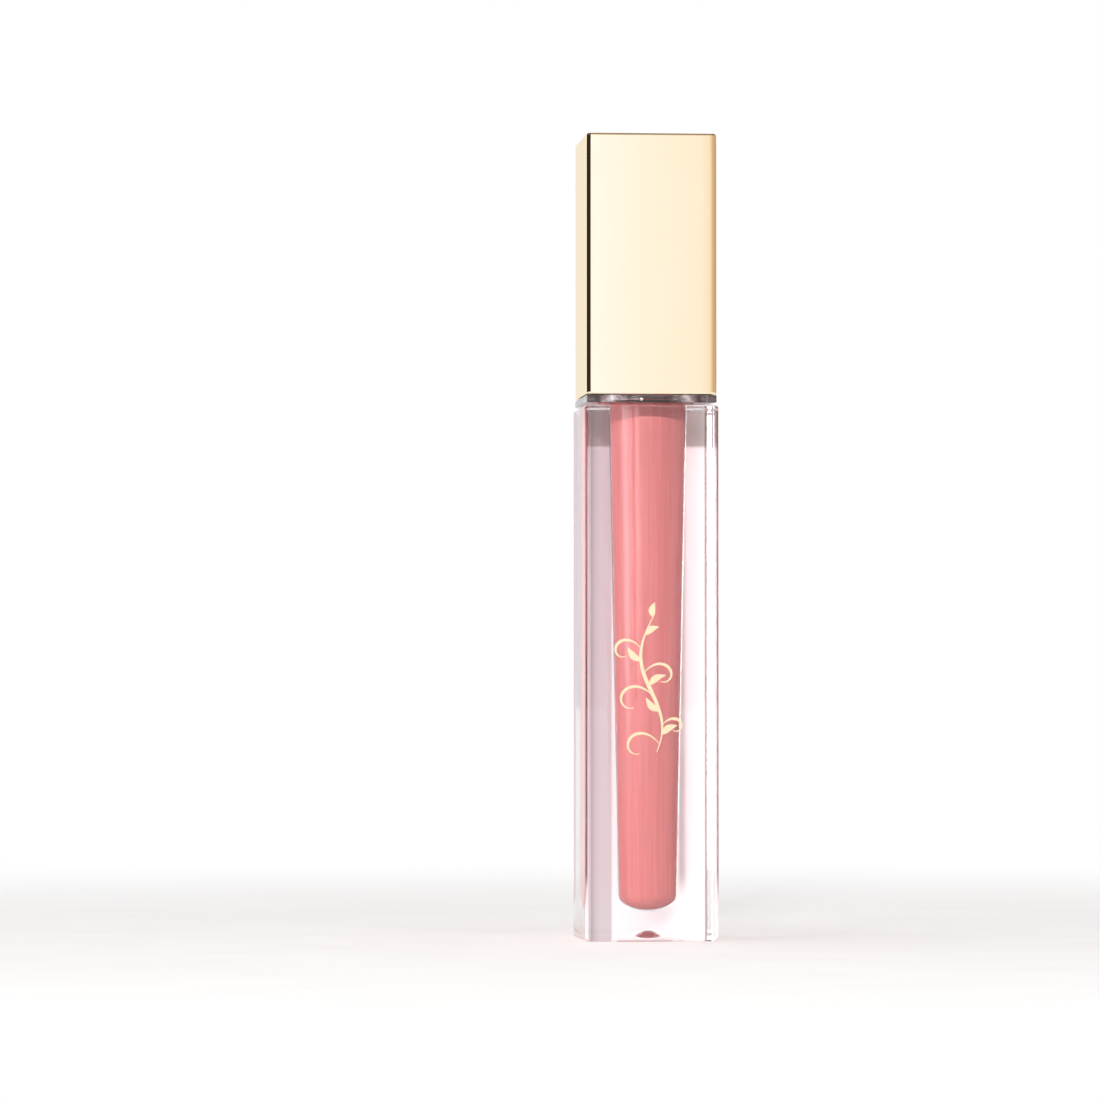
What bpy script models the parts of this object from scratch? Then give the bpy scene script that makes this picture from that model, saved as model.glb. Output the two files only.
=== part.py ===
"""Lip gloss tube: a square thick-walled bottle of gloss, closed by a square cap that carries the wand.

Metres, +Z up. The origin is the centre of the base, and the front face looks towards -Y.
Every turned piece is centred on the Z axis, which is also the axis of all three joints.
"""

import math

import bmesh
import bpy

# Clearances
TOUCH_GAP = 0.00015  # between pieces that touch in the real object
SEAM_GAP = 0.0001  # between the cap's shell and its collar

# Bottle body
BOTTLE_SIDE = 0.0168
BODY_HEIGHT = 0.0670
BODY_EDGE_RADIUS = 0.00045
CAVITY_FLOOR = 0.00355
CAVITY_DOME_HEIGHT = 0.0021
CAVITY_BOTTOM_RADIUS = 0.0037
CAVITY_TOP_RADIUS = 0.00493
GATE_DIMPLE_RADIUS = 0.0020
GATE_DIMPLE_DEPTH = 0.0012

# Neck
NECK_TOP = 0.0790
NECK_RADIUS = 0.0058
NECK_BORE_RADIUS = 0.00495
NECK_CHAMFER = 0.0002
NECK_BEAD_RADIUS = 0.0061
NECK_BEAD_HEIGHT = 0.0009
NECK_BEAD_START = 0.0685

# Thread. The crests pass each other with a radial gap, so that the cap can also be drawn straight off.
THREAD_LEAD = 0.0020
THREAD_TURNS = 1.5
THREAD_HALF_ROOT = 0.00045
THREAD_HALF_CREST = 0.0002
THREAD_SINK = 0.0002  # how far a ridge's root is buried in the wall it stands on
NECK_THREAD_START = 0.0722
NECK_CREST_RADIUS = 0.0062
CAP_THREAD_START = 0.0712
CAP_CREST_RADIUS = 0.0064
THREAD_STEPS = 24  # sections to a turn
THREAD_FADE_TURNS = 0.2

# Wiper
WIPER_FLANGE_RADIUS = 0.0056
WIPER_FLANGE_THICKNESS = 0.00065
WIPER_WALL = 0.0006
WIPER_CONE_TOP = 0.0713
WIPER_FOOT = 0.0682
WIPER_ORIFICE_RADIUS = 0.00245

# Gloss
GLOSS_TOP = 0.0679
WELL_RADIUS = 0.0026
WELL_FLOOR = 0.0047
WELL_DOME_HEIGHT = 0.0015

# Gasket
GASKET_THICKNESS = 0.00075
GASKET_OUTER_RADIUS = 0.0056
GASKET_INNER_RADIUS = 0.0024

# Inner cap
COLLAR_BOTTOM = 0.0673
COLLAR_THICKNESS = 0.00095
COLLAR_SIDE = 0.0163
COLLAR_EDGE_RADIUS = 0.00018
SLEEVE_RADIUS = 0.0072
SLEEVE_BORE_RADIUS = 0.0067
SLEEVE_MOUTH_CHAMFER = 0.0003
CEILING_THICKNESS = 0.0011
BOSS_RADIUS = 0.0032
BOSS_TOP = 0.0882
SOCKET_RADIUS = 0.0021
SOCKET_TOP = 0.0872

# Cap shell
SHELL_SIDE = 0.0164
SHELL_TOP = 0.1010
SHELL_WALL = 0.00055
SHELL_EDGE_RADIUS = 0.00035
SHELL_INNER_EDGE_RADIUS = 0.0002

# Cap weight
WEIGHT_HEIGHT = 0.0080
WEIGHT_OUTER_RADIUS = 0.0068
WEIGHT_INNER_RADIUS = 0.0034
WEIGHT_CHAMFER = 0.0003

# Wand
STEM_RADIUS = 0.0020
STEM_FOOT = 0.0182
STEM_TOP = 0.0870
STEM_CHAMFER = 0.0001
TIP_BORE_RADIUS = 0.00115
TIP_BORE_DEPTH = 0.0089
TIP_BORE_CONE = 0.00075
UPPER_BORE_RADIUS = 0.0011
SEPTUM_THICKNESS = 0.0009
TIP_END = 0.0050
FLOCK_RADIUS = 0.0022
FLOCK_THICKNESS = 0.00055
CORE_SHANK_RADIUS = 0.0010
CORE_NECK_RADIUS = 0.00045
CORE_TAPER_LENGTH = 0.0031
CORE_RING_RADIUS = 0.00105
CORE_RING_HEIGHT = 0.0012
CORE_END_RADIUS = 0.00076
CORE_END_HEIGHT = 0.0010

# Mesh density
ROUND_STEPS = 48
DOME_STEPS = 6
EDGE_SEGMENTS = 4
MERGE_DISTANCE = 0.000001
OVERCUT = 0.0010  # how far a cutter runs past the face that it opens

PART_NAME = "lip_gloss_tube"
CUTTERS_NAME = "cutters"


def clear_scene():
    for obj in list(bpy.data.objects):
        bpy.data.objects.remove(obj, do_unlink=True)


def new_collection(name):
    bpy.context.scene.collection.children.link(bpy.data.collections.new(name))


def plastic(name, colour, roughness, alpha=1.0):
    """A Principled material with no metal in it."""
    material = bpy.data.materials.new(name)
    material.use_nodes = True
    shader = material.node_tree.nodes["Principled BSDF"]
    shader.inputs["Base Color"].default_value = (*colour, 1.0)
    shader.inputs["Roughness"].default_value = roughness
    shader.inputs["Alpha"].default_value = alpha
    material.diffuse_color = (*colour, alpha)
    return material


def metal(name, colour, roughness):
    material = plastic(name, colour, roughness)
    material.node_tree.nodes["Principled BSDF"].inputs["Metallic"].default_value = 1.0
    return material


def add_mesh(name, mesh):
    obj = bpy.data.objects.new(name, mesh)
    bpy.data.collections[PART_NAME].objects.link(obj)
    return obj


def block(name, side, bottom, top, edge_radius):
    """An upright square block on the Z axis with every edge rounded."""
    mesh = bpy.data.meshes.new(name)
    solid = bmesh.new()
    bmesh.ops.create_cube(solid, size=1.0)
    bmesh.ops.scale(solid, vec=(side, side, top - bottom), verts=solid.verts)
    bmesh.ops.translate(solid, vec=(0.0, 0.0, (top + bottom) / 2), verts=solid.verts)
    solid.to_mesh(mesh)
    solid.free()
    mesh.shade_smooth()
    obj = add_mesh(name, mesh)
    bevel = obj.modifiers.new("Rounded edges", "BEVEL")
    bevel.width = edge_radius
    bevel.segments = EDGE_SEGMENTS
    bevel.harden_normals = True
    return obj


def turned(name, profile, ring=False):
    """A piece turned about Z from (radius, height) points that run down its outer side.

    The profile starts and ends on the axis, or closes on itself for a ring.
    """
    mesh = bpy.data.meshes.new(name)
    points = [(radius, 0.0, height) for radius, height in profile]
    edges = [(i, i + 1) for i in range(len(points) - 1)]
    if ring:
        edges.append((len(points) - 1, 0))
    mesh.from_pydata(points, edges, [])
    obj = add_mesh(name, mesh)
    screw = obj.modifiers.new("Turn", "SCREW")
    screw.steps = ROUND_STEPS
    screw.render_steps = ROUND_STEPS
    screw.use_smooth_shade = True
    screw.use_merge_vertices = True
    screw.merge_threshold = MERGE_DISTANCE
    return obj


def dome(radius, height, base):
    """Points of a dome that bulges downwards, from its rim at height base to its lowest point on the axis."""
    angles = [math.pi / 2 * i / DOME_STEPS for i in range(DOME_STEPS + 1)]
    return [(radius * math.cos(a), base - height * math.sin(a)) for a in angles[:-1]] + [(0.0, base - height)]


def thread_ridge(name, wall_radius, crest_radius, start):
    """A helical ridge of trapezoid section on a round wall, sinking into the wall at both ends."""
    outward = math.copysign(1.0, crest_radius - wall_radius)
    buried_radius = wall_radius - outward * THREAD_SINK
    section_count = int(THREAD_TURNS * THREAD_STEPS) + 1
    ridge = bmesh.new()
    sections = []
    for i in range(section_count):
        turn = (i + 0.5) / THREAD_STEPS
        from_end = min(i, section_count - 1 - i) / THREAD_STEPS
        share = min(1.0, from_end / THREAD_FADE_TURNS)
        faded_radius = wall_radius - outward * THREAD_SINK / 2
        tip_radius = faded_radius + (crest_radius - faded_radius) * share
        middle = start + THREAD_LEAD * turn
        corners = (
            (buried_radius, middle - THREAD_HALF_ROOT),
            (buried_radius, middle + THREAD_HALF_ROOT),
            (tip_radius, middle + THREAD_HALF_CREST),
            (tip_radius, middle - THREAD_HALF_CREST),
        )
        angle = 2 * math.pi * turn
        sections.append([ridge.verts.new((r * math.cos(angle), r * math.sin(angle), z)) for r, z in corners])
    for near, far in zip(sections, sections[1:]):
        for a in range(4):
            b = (a + 1) % 4
            ridge.faces.new((near[a], near[b], far[b], far[a]))
    ridge.faces.new(sections[0])
    ridge.faces.new(sections[-1])
    bmesh.ops.recalc_face_normals(ridge, faces=ridge.faces)
    mesh = bpy.data.meshes.new(name)
    ridge.to_mesh(mesh)
    ridge.free()
    return add_mesh(name, mesh)


def combine(target, tool, operation):
    """Joins the tool to the target, or cuts it away, and keeps the tool among the hidden cutters."""
    boolean = target.modifiers.new(tool.name, "BOOLEAN")
    boolean.operation = operation
    boolean.object = tool
    boolean.solver = "EXACT"
    tool.hide_render = True
    tool.display_type = "WIRE"
    bpy.data.collections[PART_NAME].objects.unlink(tool)
    bpy.data.collections[CUTTERS_NAME].objects.link(tool)


def paint(obj, material):
    obj.data.materials.append(material)
    return obj


def make_bottle():
    """One thick-walled clear moulding: square body, round neck with a bead and a thread, tapered cavity."""
    bottle = block("bottle", BOTTLE_SIDE, 0.0, BODY_HEIGHT, BODY_EDGE_RADIUS)
    bead_top = NECK_BEAD_START + NECK_BEAD_HEIGHT
    bead_slope = NECK_BEAD_RADIUS - NECK_RADIUS
    root = BODY_HEIGHT - OVERCUT
    neck_profile = [
        (0.0, NECK_TOP),
        (NECK_RADIUS - NECK_CHAMFER, NECK_TOP),
        (NECK_RADIUS, NECK_TOP - NECK_CHAMFER),
        (NECK_RADIUS, bead_top + bead_slope),
        (NECK_BEAD_RADIUS, bead_top),
        (NECK_BEAD_RADIUS, NECK_BEAD_START),
        (NECK_RADIUS, NECK_BEAD_START - bead_slope),
        (NECK_RADIUS, root),
        (0.0, root),
    ]
    combine(bottle, turned("neck_blank", neck_profile), "UNION")
    ridge = thread_ridge("neck_thread", NECK_RADIUS, NECK_CREST_RADIUS, NECK_THREAD_START)
    combine(bottle, ridge, "UNION")
    dome_base = CAVITY_FLOOR + CAVITY_DOME_HEIGHT
    cavity_profile = [
        (0.0, NECK_TOP + OVERCUT),
        (NECK_BORE_RADIUS, NECK_TOP + OVERCUT),
        (NECK_BORE_RADIUS, BODY_HEIGHT + OVERCUT),
        (CAVITY_TOP_RADIUS, BODY_HEIGHT),
        *dome(CAVITY_BOTTOM_RADIUS, CAVITY_DOME_HEIGHT, dome_base),
    ]
    combine(bottle, turned("cavity", cavity_profile), "DIFFERENCE")
    sphere_radius = (GATE_DIMPLE_RADIUS**2 + GATE_DIMPLE_DEPTH**2) / (2 * GATE_DIMPLE_DEPTH)
    combine(bottle, gate_ball(sphere_radius), "DIFFERENCE")
    return paint(bottle, plastic("clear_bottle", (0.95, 0.94, 0.95), 0.03, 0.3))


def gate_ball(radius):
    """The ball that presses the shallow gate dimple into the base."""
    ball = bmesh.new()
    bmesh.ops.create_uvsphere(ball, u_segments=ROUND_STEPS, v_segments=ROUND_STEPS // 2, radius=radius)
    bmesh.ops.translate(ball, vec=(0.0, 0.0, GATE_DIMPLE_DEPTH - radius), verts=ball.verts)
    mesh = bpy.data.meshes.new("gate_ball")
    ball.to_mesh(mesh)
    ball.free()
    return add_mesh("gate_ball", mesh)


def make_wiper():
    """The soft plug pressed into the neck, whose small orifice wipes the stem."""
    flange_bottom = NECK_TOP + TOUCH_GAP
    flange_top = flange_bottom + WIPER_FLANGE_THICKNESS
    plug_radius = NECK_BORE_RADIUS - TOUCH_GAP
    profile = [
        (plug_radius - WIPER_WALL, flange_top),
        (WIPER_FLANGE_RADIUS, flange_top),
        (WIPER_FLANGE_RADIUS, flange_bottom),
        (plug_radius, flange_bottom),
        (plug_radius, WIPER_CONE_TOP),
        (WIPER_ORIFICE_RADIUS + WIPER_WALL, WIPER_FOOT),
        (WIPER_ORIFICE_RADIUS, WIPER_FOOT),
        (WIPER_ORIFICE_RADIUS, WIPER_FOOT + WIPER_WALL),
        (plug_radius - WIPER_WALL, WIPER_CONE_TOP + WIPER_WALL),
    ]
    wiper = turned("wiper", profile, ring=True)
    return paint(wiper, plastic("wiper_plastic", (0.88, 0.88, 0.86), 0.4))


def make_gloss():
    """The gloss that fills the cavity up to the wiper, with the well that the wand stands in."""
    dome_base = CAVITY_FLOOR + CAVITY_DOME_HEIGHT
    outer_top = CAVITY_TOP_RADIUS - TOUCH_GAP
    outer_bottom = CAVITY_BOTTOM_RADIUS - TOUCH_GAP
    well_base = WELL_FLOOR + WELL_DOME_HEIGHT
    profile = [
        (WELL_RADIUS, GLOSS_TOP),
        (outer_top, GLOSS_TOP),
        *dome(outer_bottom, CAVITY_DOME_HEIGHT - TOUCH_GAP, dome_base),
        *reversed(dome(WELL_RADIUS, WELL_DOME_HEIGHT, well_base)),
    ]
    gloss = turned("gloss_fill", profile, ring=True)
    return paint(gloss, plastic("gloss_pink", (0.80, 0.33, 0.35), 0.25))


def make_gasket():
    """The loose sealing washer that lies on the wiper's flange, around the stem."""
    bottom = NECK_TOP + WIPER_FLANGE_THICKNESS + 2 * TOUCH_GAP
    top = bottom + GASKET_THICKNESS
    profile = [
        (GASKET_INNER_RADIUS, top),
        (GASKET_OUTER_RADIUS, top),
        (GASKET_OUTER_RADIUS, bottom),
        (GASKET_INNER_RADIUS, bottom),
    ]
    gasket = turned("neck_gasket", profile, ring=True)
    return paint(gasket, plastic("gasket_foam", (0.85, 0.84, 0.80), 0.8))


def ceiling_bottom():
    """The height of the inner cap's ceiling, just above the gasket."""
    return NECK_TOP + WIPER_FLANGE_THICKNESS + GASKET_THICKNESS + 3 * TOUCH_GAP


def make_inner_cap():
    """The clear threaded cap: a square collar, a sleeve over the neck and a boss that grips the stem."""
    collar_top = COLLAR_BOTTOM + COLLAR_THICKNESS
    inner_cap = block("inner_cap", COLLAR_SIDE, COLLAR_BOTTOM, collar_top, COLLAR_EDGE_RADIUS)
    ceiling_top = ceiling_bottom() + CEILING_THICKNESS
    foot = COLLAR_BOTTOM + COLLAR_THICKNESS / 2
    sleeve_profile = [
        (0.0, BOSS_TOP),
        (BOSS_RADIUS, BOSS_TOP),
        (BOSS_RADIUS, ceiling_top),
        (SLEEVE_RADIUS, ceiling_top),
        (SLEEVE_RADIUS, foot),
        (0.0, foot),
    ]
    combine(inner_cap, turned("sleeve_blank", sleeve_profile), "UNION")
    bore_profile = [
        (0.0, SOCKET_TOP),
        (SOCKET_RADIUS, SOCKET_TOP),
        (SOCKET_RADIUS, ceiling_bottom()),
        (SLEEVE_BORE_RADIUS, ceiling_bottom()),
        (SLEEVE_BORE_RADIUS, COLLAR_BOTTOM + SLEEVE_MOUTH_CHAMFER),
        (SLEEVE_BORE_RADIUS + SLEEVE_MOUTH_CHAMFER + OVERCUT, COLLAR_BOTTOM - OVERCUT),
        (0.0, COLLAR_BOTTOM - OVERCUT),
    ]
    combine(inner_cap, turned("sleeve_bore", bore_profile), "DIFFERENCE")
    ridge = thread_ridge("cap_thread", SLEEVE_BORE_RADIUS, CAP_CREST_RADIUS, CAP_THREAD_START)
    combine(inner_cap, ridge, "UNION")
    return paint(inner_cap, plastic("clear_cap_plastic", (0.92, 0.91, 0.92), 0.05, 0.3))


def make_shell():
    """The gold square cover that hides the inner cap down to its collar."""
    bottom = COLLAR_BOTTOM + COLLAR_THICKNESS + SEAM_GAP
    shell = block("cap_shell", SHELL_SIDE, bottom, SHELL_TOP, SHELL_EDGE_RADIUS)
    inner_side = SHELL_SIDE - 2 * SHELL_WALL
    inner_top = SHELL_TOP - SHELL_WALL
    hollow = block("shell_hollow", inner_side, bottom - OVERCUT, inner_top, SHELL_INNER_EDGE_RADIUS)
    combine(shell, hollow, "DIFFERENCE")
    return paint(shell, metal("gold", (0.94, 0.80, 0.58), 0.12))


def make_weight():
    """The turned steel ring that sits on the inner cap's ceiling, round the boss."""
    bottom = ceiling_bottom() + CEILING_THICKNESS + TOUCH_GAP
    top = bottom + WEIGHT_HEIGHT
    profile = [
        (WEIGHT_INNER_RADIUS + WEIGHT_CHAMFER, top),
        (WEIGHT_OUTER_RADIUS - WEIGHT_CHAMFER, top),
        (WEIGHT_OUTER_RADIUS, top - WEIGHT_CHAMFER),
        (WEIGHT_OUTER_RADIUS, bottom + WEIGHT_CHAMFER),
        (WEIGHT_OUTER_RADIUS - WEIGHT_CHAMFER, bottom),
        (WEIGHT_INNER_RADIUS + WEIGHT_CHAMFER, bottom),
        (WEIGHT_INNER_RADIUS, bottom + WEIGHT_CHAMFER),
        (WEIGHT_INNER_RADIUS, top - WEIGHT_CHAMFER),
    ]
    weight = turned("cap_weight", profile, ring=True)
    return paint(weight, metal("steel", (0.55, 0.56, 0.58), 0.3))


def make_stem():
    """The clear hollow stem: a short bore for the tip, a thin cone-ended septum and a long upper bore."""
    tip_bore_end = STEM_FOOT + TIP_BORE_DEPTH
    septum_top = tip_bore_end + TIP_BORE_CONE + SEPTUM_THICKNESS
    profile = [
        (0.0, septum_top),
        (UPPER_BORE_RADIUS, septum_top),
        (UPPER_BORE_RADIUS, STEM_TOP),
        (STEM_RADIUS - STEM_CHAMFER, STEM_TOP),
        (STEM_RADIUS, STEM_TOP - STEM_CHAMFER),
        (STEM_RADIUS, STEM_FOOT + STEM_CHAMFER),
        (STEM_RADIUS - STEM_CHAMFER, STEM_FOOT),
        (TIP_BORE_RADIUS, STEM_FOOT),
        (TIP_BORE_RADIUS, tip_bore_end),
        (0.0, tip_bore_end + TIP_BORE_CONE),
    ]
    stem = turned("stem", profile)
    return paint(stem, plastic("clear_stem", (0.95, 0.94, 0.94), 0.03, 0.3))


def make_tip_core():
    """The moulded pin that carries the flocking: a domed core, a tapered shank and two retaining rings."""
    core_radius = FLOCK_RADIUS - FLOCK_THICKNESS
    core_end = TIP_END + FLOCK_THICKNESS
    shoulder = STEM_FOOT - TOUCH_GAP
    neck = STEM_FOOT + CORE_TAPER_LENGTH
    ring_top = neck + CORE_RING_HEIGHT
    end = ring_top + CORE_END_HEIGHT
    profile = [
        (0.0, end),
        (CORE_END_RADIUS, end),
        (CORE_END_RADIUS, ring_top),
        (CORE_RING_RADIUS, ring_top),
        (CORE_RING_RADIUS, neck),
        (CORE_NECK_RADIUS, neck),
        (CORE_SHANK_RADIUS, shoulder),
        (core_radius, shoulder),
        *dome(core_radius, core_radius, core_end + core_radius),
    ]
    core = turned("tip_core", profile)
    return paint(core, plastic("core_plastic", (0.86, 0.74, 0.70), 0.35))


def make_flocking():
    """The coat of short fibres around the tip's core, as one plain skin."""
    inner_radius = FLOCK_RADIUS - FLOCK_THICKNESS + SEAM_GAP
    top = STEM_FOOT - TOUCH_GAP
    inner_base = TIP_END + FLOCK_THICKNESS - SEAM_GAP + inner_radius
    profile = [
        (inner_radius, top),
        (FLOCK_RADIUS, top),
        *dome(FLOCK_RADIUS, FLOCK_RADIUS, TIP_END + FLOCK_RADIUS),
        *reversed(dome(inner_radius, inner_radius, inner_base)),
    ]
    flocking = turned("flocking", profile, ring=True)
    return paint(flocking, plastic("flock_fibre", (0.78, 0.36, 0.38), 0.8))


def carry(name, pieces):
    """Parents pieces that move together to an empty on the tube's axis."""
    empty = bpy.data.objects.new(name, None)
    empty.empty_display_size = SHELL_SIDE
    bpy.data.collections[PART_NAME].objects.link(empty)
    for piece in pieces:
        piece.parent = empty
    return empty


def make_tube():
    make_bottle()
    make_wiper()
    make_gloss()
    gasket = make_gasket()
    weight = make_weight()
    cap = carry("cap_axis", [make_inner_cap(), make_shell(), make_stem(), make_tip_core(), make_flocking()])
    rise = carry("rise_axis", [weight, cap])
    carry("withdraw_axis", [gasket, rise])


clear_scene()
new_collection(PART_NAME)
new_collection(CUTTERS_NAME)
make_tube()
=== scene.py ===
"""The looks of the lip gloss tube: fine meshes, materials, a pale floor, soft light and the camera.

Metres, +Z up, in the CAD frame. The front face looks towards -Y and the tube's axis is the Z axis.
"""

import math
import random

import bmesh
import bpy
from mathutils import Matrix, Vector


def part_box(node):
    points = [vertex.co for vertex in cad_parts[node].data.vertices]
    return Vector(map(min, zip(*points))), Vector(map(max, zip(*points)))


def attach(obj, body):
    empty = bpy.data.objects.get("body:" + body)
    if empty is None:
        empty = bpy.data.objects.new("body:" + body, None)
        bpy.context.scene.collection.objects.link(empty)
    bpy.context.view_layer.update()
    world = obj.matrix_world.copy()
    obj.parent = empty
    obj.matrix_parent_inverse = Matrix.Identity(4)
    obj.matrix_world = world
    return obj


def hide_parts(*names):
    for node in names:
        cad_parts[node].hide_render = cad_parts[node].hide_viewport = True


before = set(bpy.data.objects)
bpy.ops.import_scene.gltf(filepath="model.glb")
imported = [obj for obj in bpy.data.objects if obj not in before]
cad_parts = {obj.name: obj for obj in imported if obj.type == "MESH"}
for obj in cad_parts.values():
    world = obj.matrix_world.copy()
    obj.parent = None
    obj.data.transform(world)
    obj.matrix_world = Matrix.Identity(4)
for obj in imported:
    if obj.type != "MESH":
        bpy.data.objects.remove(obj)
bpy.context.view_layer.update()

MM = 0.001

# The CAD pieces' boxes
BOTTLE_LOW, BOTTLE_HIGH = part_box("bottle")
CAP_LOW, CAP_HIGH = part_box("inner_cap")
SHELL_LOW, SHELL_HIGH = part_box("cap_shell")
STEM_LOW, STEM_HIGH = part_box("stem")
FLOCK_LOW, FLOCK_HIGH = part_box("flocking")
CORE_LOW, CORE_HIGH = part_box("tip_core")
GLOSS_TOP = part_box("gloss_fill")[1].z
WIPER_LOW, WIPER_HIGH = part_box("wiper")
GASKET_LOW, GASKET_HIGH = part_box("neck_gasket")

# The bottle with its neck, cavity and thread
BOTTLE_SIDE = BOTTLE_HIGH.x - BOTTLE_LOW.x
BODY_TOP = CAP_LOW.z - 0.3 * MM
BODY_EDGE = 0.75 * MM
SHOULDER_EDGE = 0.45 * MM
BASE_EDGE = 0.68 * MM
BACK_FOOT_SHARE = 0.2
CAVITY_FLOOR = 3.55 * MM
CAVITY_DOME = 2.1 * MM
CAVITY_BOTTOM_RADIUS = 3.7 * MM
CAVITY_TOP_RADIUS = 4.93 * MM
DIMPLE_RADIUS = 2.0 * MM
DIMPLE_DEPTH = 1.2 * MM
NECK_RADIUS = 5.8 * MM
NECK_BORE = 4.95 * MM
BEAD_RADIUS = 6.1 * MM
BEAD_BOTTOM = 68.5 * MM
BEAD_TOP = BEAD_BOTTOM + 0.9 * MM
NECK_FLARE = 0.35 * MM
MOUTH_BEVEL = 0.3 * MM
NECK_CREST = 6.2 * MM
NECK_THREAD_START = 72.2 * MM
THREAD_LEAD = 2.0 * MM
THREAD_TURNS = 1.5
THREAD_HALF_ROOT = 0.45 * MM
THREAD_FADE = 0.2

# The cap: collar, sleeve, ceiling and the boss that holds the stem
COLLAR_THICKNESS = 0.95 * MM
COLLAR_SIDE = CAP_HIGH.x - CAP_LOW.x
COLLAR_EDGE = 0.18 * MM
SLEEVE_RADIUS = 7.2 * MM
SLEEVE_BORE = 6.7 * MM
CAP_CREST = 6.4 * MM
CAP_THREAD_START = 71.2 * MM
CEILING_GAP = 0.15 * MM
CEILING_THICKNESS = 1.1 * MM
BOSS_RADIUS = 3.2 * MM
SOCKET_RADIUS = 2.1 * MM
SOCKET_ROOF = 1.0 * MM

# The gold cover, whose faces fall away by PILLOW_DROP over PILLOW_BAND at their edges
SHELL_SIDE = SHELL_HIGH.x - SHELL_LOW.x
SHELL_WALL = 0.55 * MM
SHELL_EDGE = 0.75 * MM
SHELL_TOP_EDGE = 0.3 * MM
SHELL_RIM = 0.06 * MM
PILLOW_BAND = 2.0 * MM
PILLOW_DROP = 0.03 * MM

# The wiper, the gasket and the well in the gloss
WIPER_WALL = 0.6 * MM
WIPER_HOLE = 2.45 * MM
WIPER_CONE = WIPER_LOW.z + 3.1 * MM
GASKET_HOLE = 2.4 * MM
WELL_RADIUS = 2.6 * MM
WELL_FLOOR = 6.2 * MM

# The stem, the pin in its lower bore and the flocked tip
STEM_RADIUS = STEM_HIGH.x
TIP_BORE_RADIUS = 1.15 * MM
TIP_BORE_DEPTH = 8.9 * MM
TIP_BORE_CONE = 0.75 * MM
UPPER_BORE_RADIUS = 1.1 * MM
SEPTUM = 0.9 * MM
PIN_SHANK = 0.76 * MM
PIN_RING = 1.05 * MM
PIN_NECK = STEM_LOW.z + 3.1 * MM
FLOCK_RADIUS = FLOCK_HIGH.x
FLOCK_THICKNESS = 0.55 * MM
FIBRES_SHOW = 0.55  # fibres only stand where gloss covers the tip less than this
FILM_SUNK = 0.3  # mm that the film lies inside the tip where it is bare
FILM_RISE = 0.36  # mm that full cover lifts it

ROUND_STEPS = 144
FILLET_STEP = math.radians(15)
FILLET_LIMIT = 0.49
ON_AXIS = 1e-7
SAME_HEIGHT = 1e-6
PROUD_STEP = 1e-8

# Looks and studio
PLASTIC_IOR = 1.5
GLOSS_IOR = 1.46
BLACK = (0.0, 0.0, 0.0)
WHITE = (1.0, 1.0, 1.0)
COOL_WHITE = (0.80, 0.87, 1.00)
DEEP_GREY = (0.10, 0.08, 0.08)
CLEAR_TINT = (0.93, 0.91, 0.92)
PAPER = (0.93, 0.92, 0.925)
GLOSS_SHADOW = (0.14, 0.11, 0.115)
STUDIO_GLOW = 1.28
STRAIGHT_RAY_DEPTH = 3.5  # a ray straight through the plastic reaches the backdrop at depth 3
LIT_MIDDLE = Vector((0.0, 0.0, 0.05))
CARD_REACH = 9.0  # mm to each side that the back card's tones cover
CARD_MIDDLE = 0.13  # its middle's height


# ---- shapes


def smooth_step(value):
    """Eases a value in and out between 0 and 1, and holds it there beyond them."""
    value = min(1.0, max(0.0, value))
    return value * value * (3 - 2 * value)


def arc_corner(before, corner, after, radius):
    """Points of the arc that rounds one corner of an outline."""
    place = Vector(corner[:2])
    to_before = Vector(before[:2]) - place
    to_after = Vector(after[:2]) - place
    angle = to_before.angle(to_after)
    longest = FILLET_LIMIT * min(to_before.length, to_after.length)
    reach = min(radius / math.tan(angle / 2), longest)
    middle = to_before.normalized() + to_after.normalized()
    centre = place + middle.normalized() * (reach * math.tan(angle / 2) / math.sin(angle / 2))
    first = place + to_before.normalized() * reach - centre
    last = place + to_after.normalized() * reach - centre
    count = max(2, round((math.pi - angle) / FILLET_STEP))
    turn = first.angle_signed(last)
    return [tuple(centre + Matrix.Rotation(-turn * i / count, 2) @ first) for i in range(count + 1)]


def rounded(corners, ring=False):
    """An outline from (radius, height) or (radius, height, fillet in millimetres) corners."""
    points = []
    for i, corner in enumerate(corners):
        at_end = i in (0, len(corners) - 1) and not ring
        if len(corner) == 2 or at_end:
            points.append(tuple(corner[:2]))
            continue
        before = corners[i - 1]
        after = corners[(i + 1) % len(corners)]
        points += arc_corner(before, corner, after, corner[2] * MM)
    return points


def dome(radius, height, base, count=16):
    """Points of a dome that bulges downwards, from its rim at height base to its lowest point on the axis."""
    angles = [math.pi / 2 * i / count for i in range(count)]
    return [(radius * math.cos(a), base - height * math.sin(a)) for a in angles] + [(0.0, base - height)]


def add_object(name, data):
    obj = bpy.data.objects.new(name, data)
    bpy.context.scene.collection.objects.link(obj)
    return obj


def from_points(name, verts, faces):
    mesh = bpy.data.meshes.new(name)
    mesh.from_pydata(verts, [], faces)
    return add_object(name, mesh)


def as_object(name, solid):
    mesh = bpy.data.meshes.new(name)
    solid.to_mesh(mesh)
    solid.free()
    return add_object(name, mesh)


def lathe(name, corners, ring=False, steps=ROUND_STEPS):
    """A mesh turned about Z from corners as rounded() takes them, which run down its outer side."""
    verts, rings = [], []
    for radius, height in rounded(corners, ring):
        first = len(verts)
        if radius < ON_AXIS:
            verts.append((0.0, 0.0, height))
        else:
            angles = [2 * math.pi * k / steps for k in range(steps)]
            verts += [(radius * math.cos(a), radius * math.sin(a), height) for a in angles]
        rings.append(range(first, len(verts)))
    pairs = list(zip(rings, rings[1:]))
    if ring:
        pairs.append((rings[-1], rings[0]))
    faces = [face for upper, lower in pairs for face in band(upper, lower)]
    return shade(from_points(name, verts, faces))


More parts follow.
